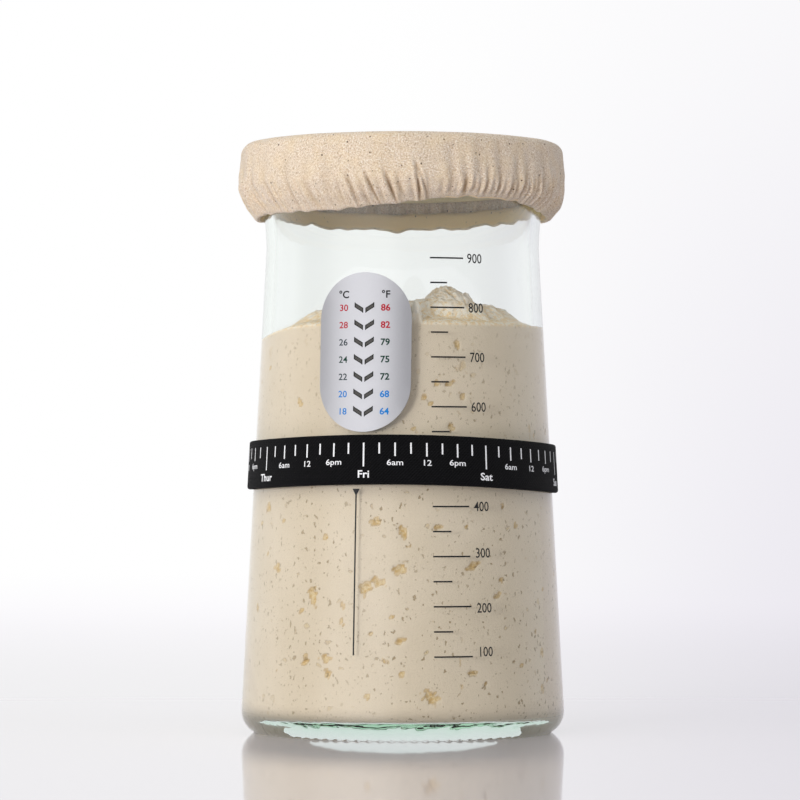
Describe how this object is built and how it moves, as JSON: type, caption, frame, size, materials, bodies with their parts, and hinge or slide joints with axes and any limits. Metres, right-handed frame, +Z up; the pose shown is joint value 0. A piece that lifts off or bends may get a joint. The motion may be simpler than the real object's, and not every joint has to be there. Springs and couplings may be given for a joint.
{
  "type": "sourdough starter jar",
  "caption": "Tapered glass jar of risen sourdough starter with a screw lid under a gathered cloth cover, an elastic day band and a strip thermometer.",
  "frame": {"origin": "centre of the base, on the surface the jar stands on", "axes": "+Z up along the jar's axis, -Y towards the viewer in the picture, +X to the viewer's right"},
  "size_m": [0.1086, 0.1086, 0.195],
  "materials": {
    "glass": "fire-polished soda-lime glass",
    "dough": "soft matt dough",
    "liner": "foamed plastic sheet",
    "lid": "satin drawn sheet",
    "cloth": "plain-woven natural cotton and linen",
    "elastic": "braided elastic",
    "band": "woven elastic",
    "adhesive": "clear acrylic adhesive",
    "thermometer_film": "printed pearl-grey film",
    "crystals": "dark liquid-crystal film"
  },
  "bodies": {
    "jar": {"glass_jar": "glass", "starter": "dough", "thermometer_adhesive": "adhesive", "thermometer_face": "thermometer_film", "thermometer_crystals": "crystals"},
    "liner": {"lid_liner": "liner"},
    "lid": {"lid_shell": "lid"},
    "cover": {"cloth_cover": "cloth", "hem_elastic": "elastic"},
    "band": {"day_band": "band"}
  },
  "joints": [
    {"name": "lid_lift", "type": "slide", "parent": "jar", "child": "liner", "axis": [0, 0, 1], "range_m": [0, 0.0057]},
    {"name": "lid_turn", "type": "hinge", "parent": "liner", "child": "lid", "pos_m": [0, 0, 0.179], "axis": [0, 0, 1], "range_deg": [0, 400]},
    {"name": "cover_lift", "type": "slide", "parent": "lid", "child": "cover", "axis": [0, 0, 1], "range_m": [0, 0.04], "deforming": ["cloth_cover", "hem_elastic"]},
    {"name": "band_turn", "type": "hinge", "parent": "jar", "child": "band", "pos_m": [0, 0, 0.0892], "axis": [0, 0, 1], "continuous": true}
  ],
  "couplings": [
    {"joint": "lid_lift", "follows": "lid_turn", "m_per_rad": 0.00080851}
  ]
}
